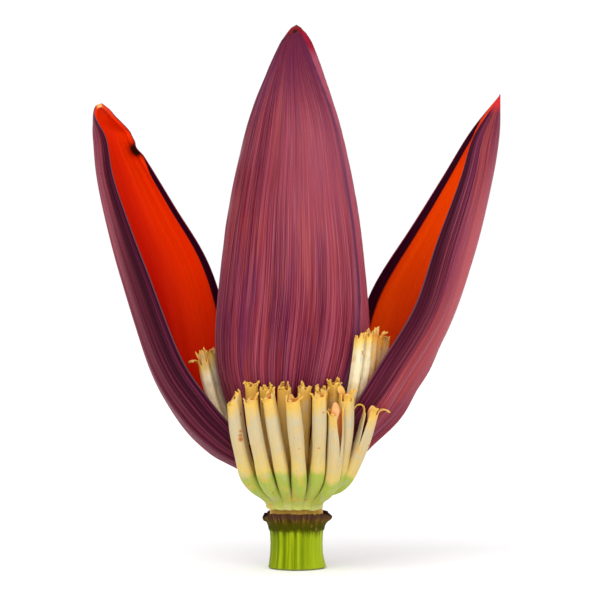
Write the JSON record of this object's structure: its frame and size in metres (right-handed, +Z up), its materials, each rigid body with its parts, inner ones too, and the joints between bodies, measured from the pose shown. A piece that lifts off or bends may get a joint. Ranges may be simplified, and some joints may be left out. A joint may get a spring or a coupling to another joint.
{
  "type": "banana blossom",
  "caption": "Closed purple banana bud with opened boat-shaped bracts on both sides and hands of cream finger flowers, standing on a short cut stem.",
  "frame": {"origin": "middle of the flat cut end of the stem", "axes": "+Z up along the stem and bud, the opened bracts to -X and +X, and the front hand of flowers towards -Y"},
  "size_m": [0.2172, 0.0912, 0.289],
  "materials": {
    "stem_green": "smooth fresh green stem with faint ribs",
    "dried_scar": "dry, torn, dull brown-purple rim",
    "bract_outside": "satin maroon-purple with fine lengthwise streaks and a waxy bloom",
    "opened_bract": "satin orange-red inside, maroon-purple outside",
    "flower_cream": "soft cream with faint ribs, yellow at the tip and green at the foot"
  },
  "bodies": {
    "root": {"stem": "stem_green", "torn_bract_collar": "dried_scar", "bud_front_bract": "bract_outside", "bud_right_bract": "bract_outside", "bud_back_bract": "bract_outside", "bud_heart": "bract_outside", "left_open_bract": "opened_bract", "right_open_bract": "opened_bract", "front_flower_1": "flower_cream", "front_flower_2": "flower_cream", "front_flower_3": "flower_cream", "front_flower_4": "flower_cream", "front_flower_5": "flower_cream", "front_flower_6": "flower_cream", "front_flower_7": "flower_cream", "front_flower_8": "flower_cream", "second_flower_1": "flower_cream", "second_flower_2": "flower_cream", "second_flower_3": "flower_cream", "second_flower_4": "flower_cream", "second_flower_5": "flower_cream", "second_flower_6": "flower_cream", "left_axil_flower_1": "flower_cream", "left_axil_flower_2": "flower_cream", "left_axil_flower_3": "flower_cream", "left_axil_flower_4": "flower_cream", "left_axil_flower_5": "flower_cream", "right_axil_flower_1": "flower_cream", "right_axil_flower_2": "flower_cream", "right_axil_flower_3": "flower_cream", "right_axil_flower_4": "flower_cream", "right_axil_flower_5": "flower_cream", "right_axil_flower_6": "flower_cream"}
  },
  "joints": []
}
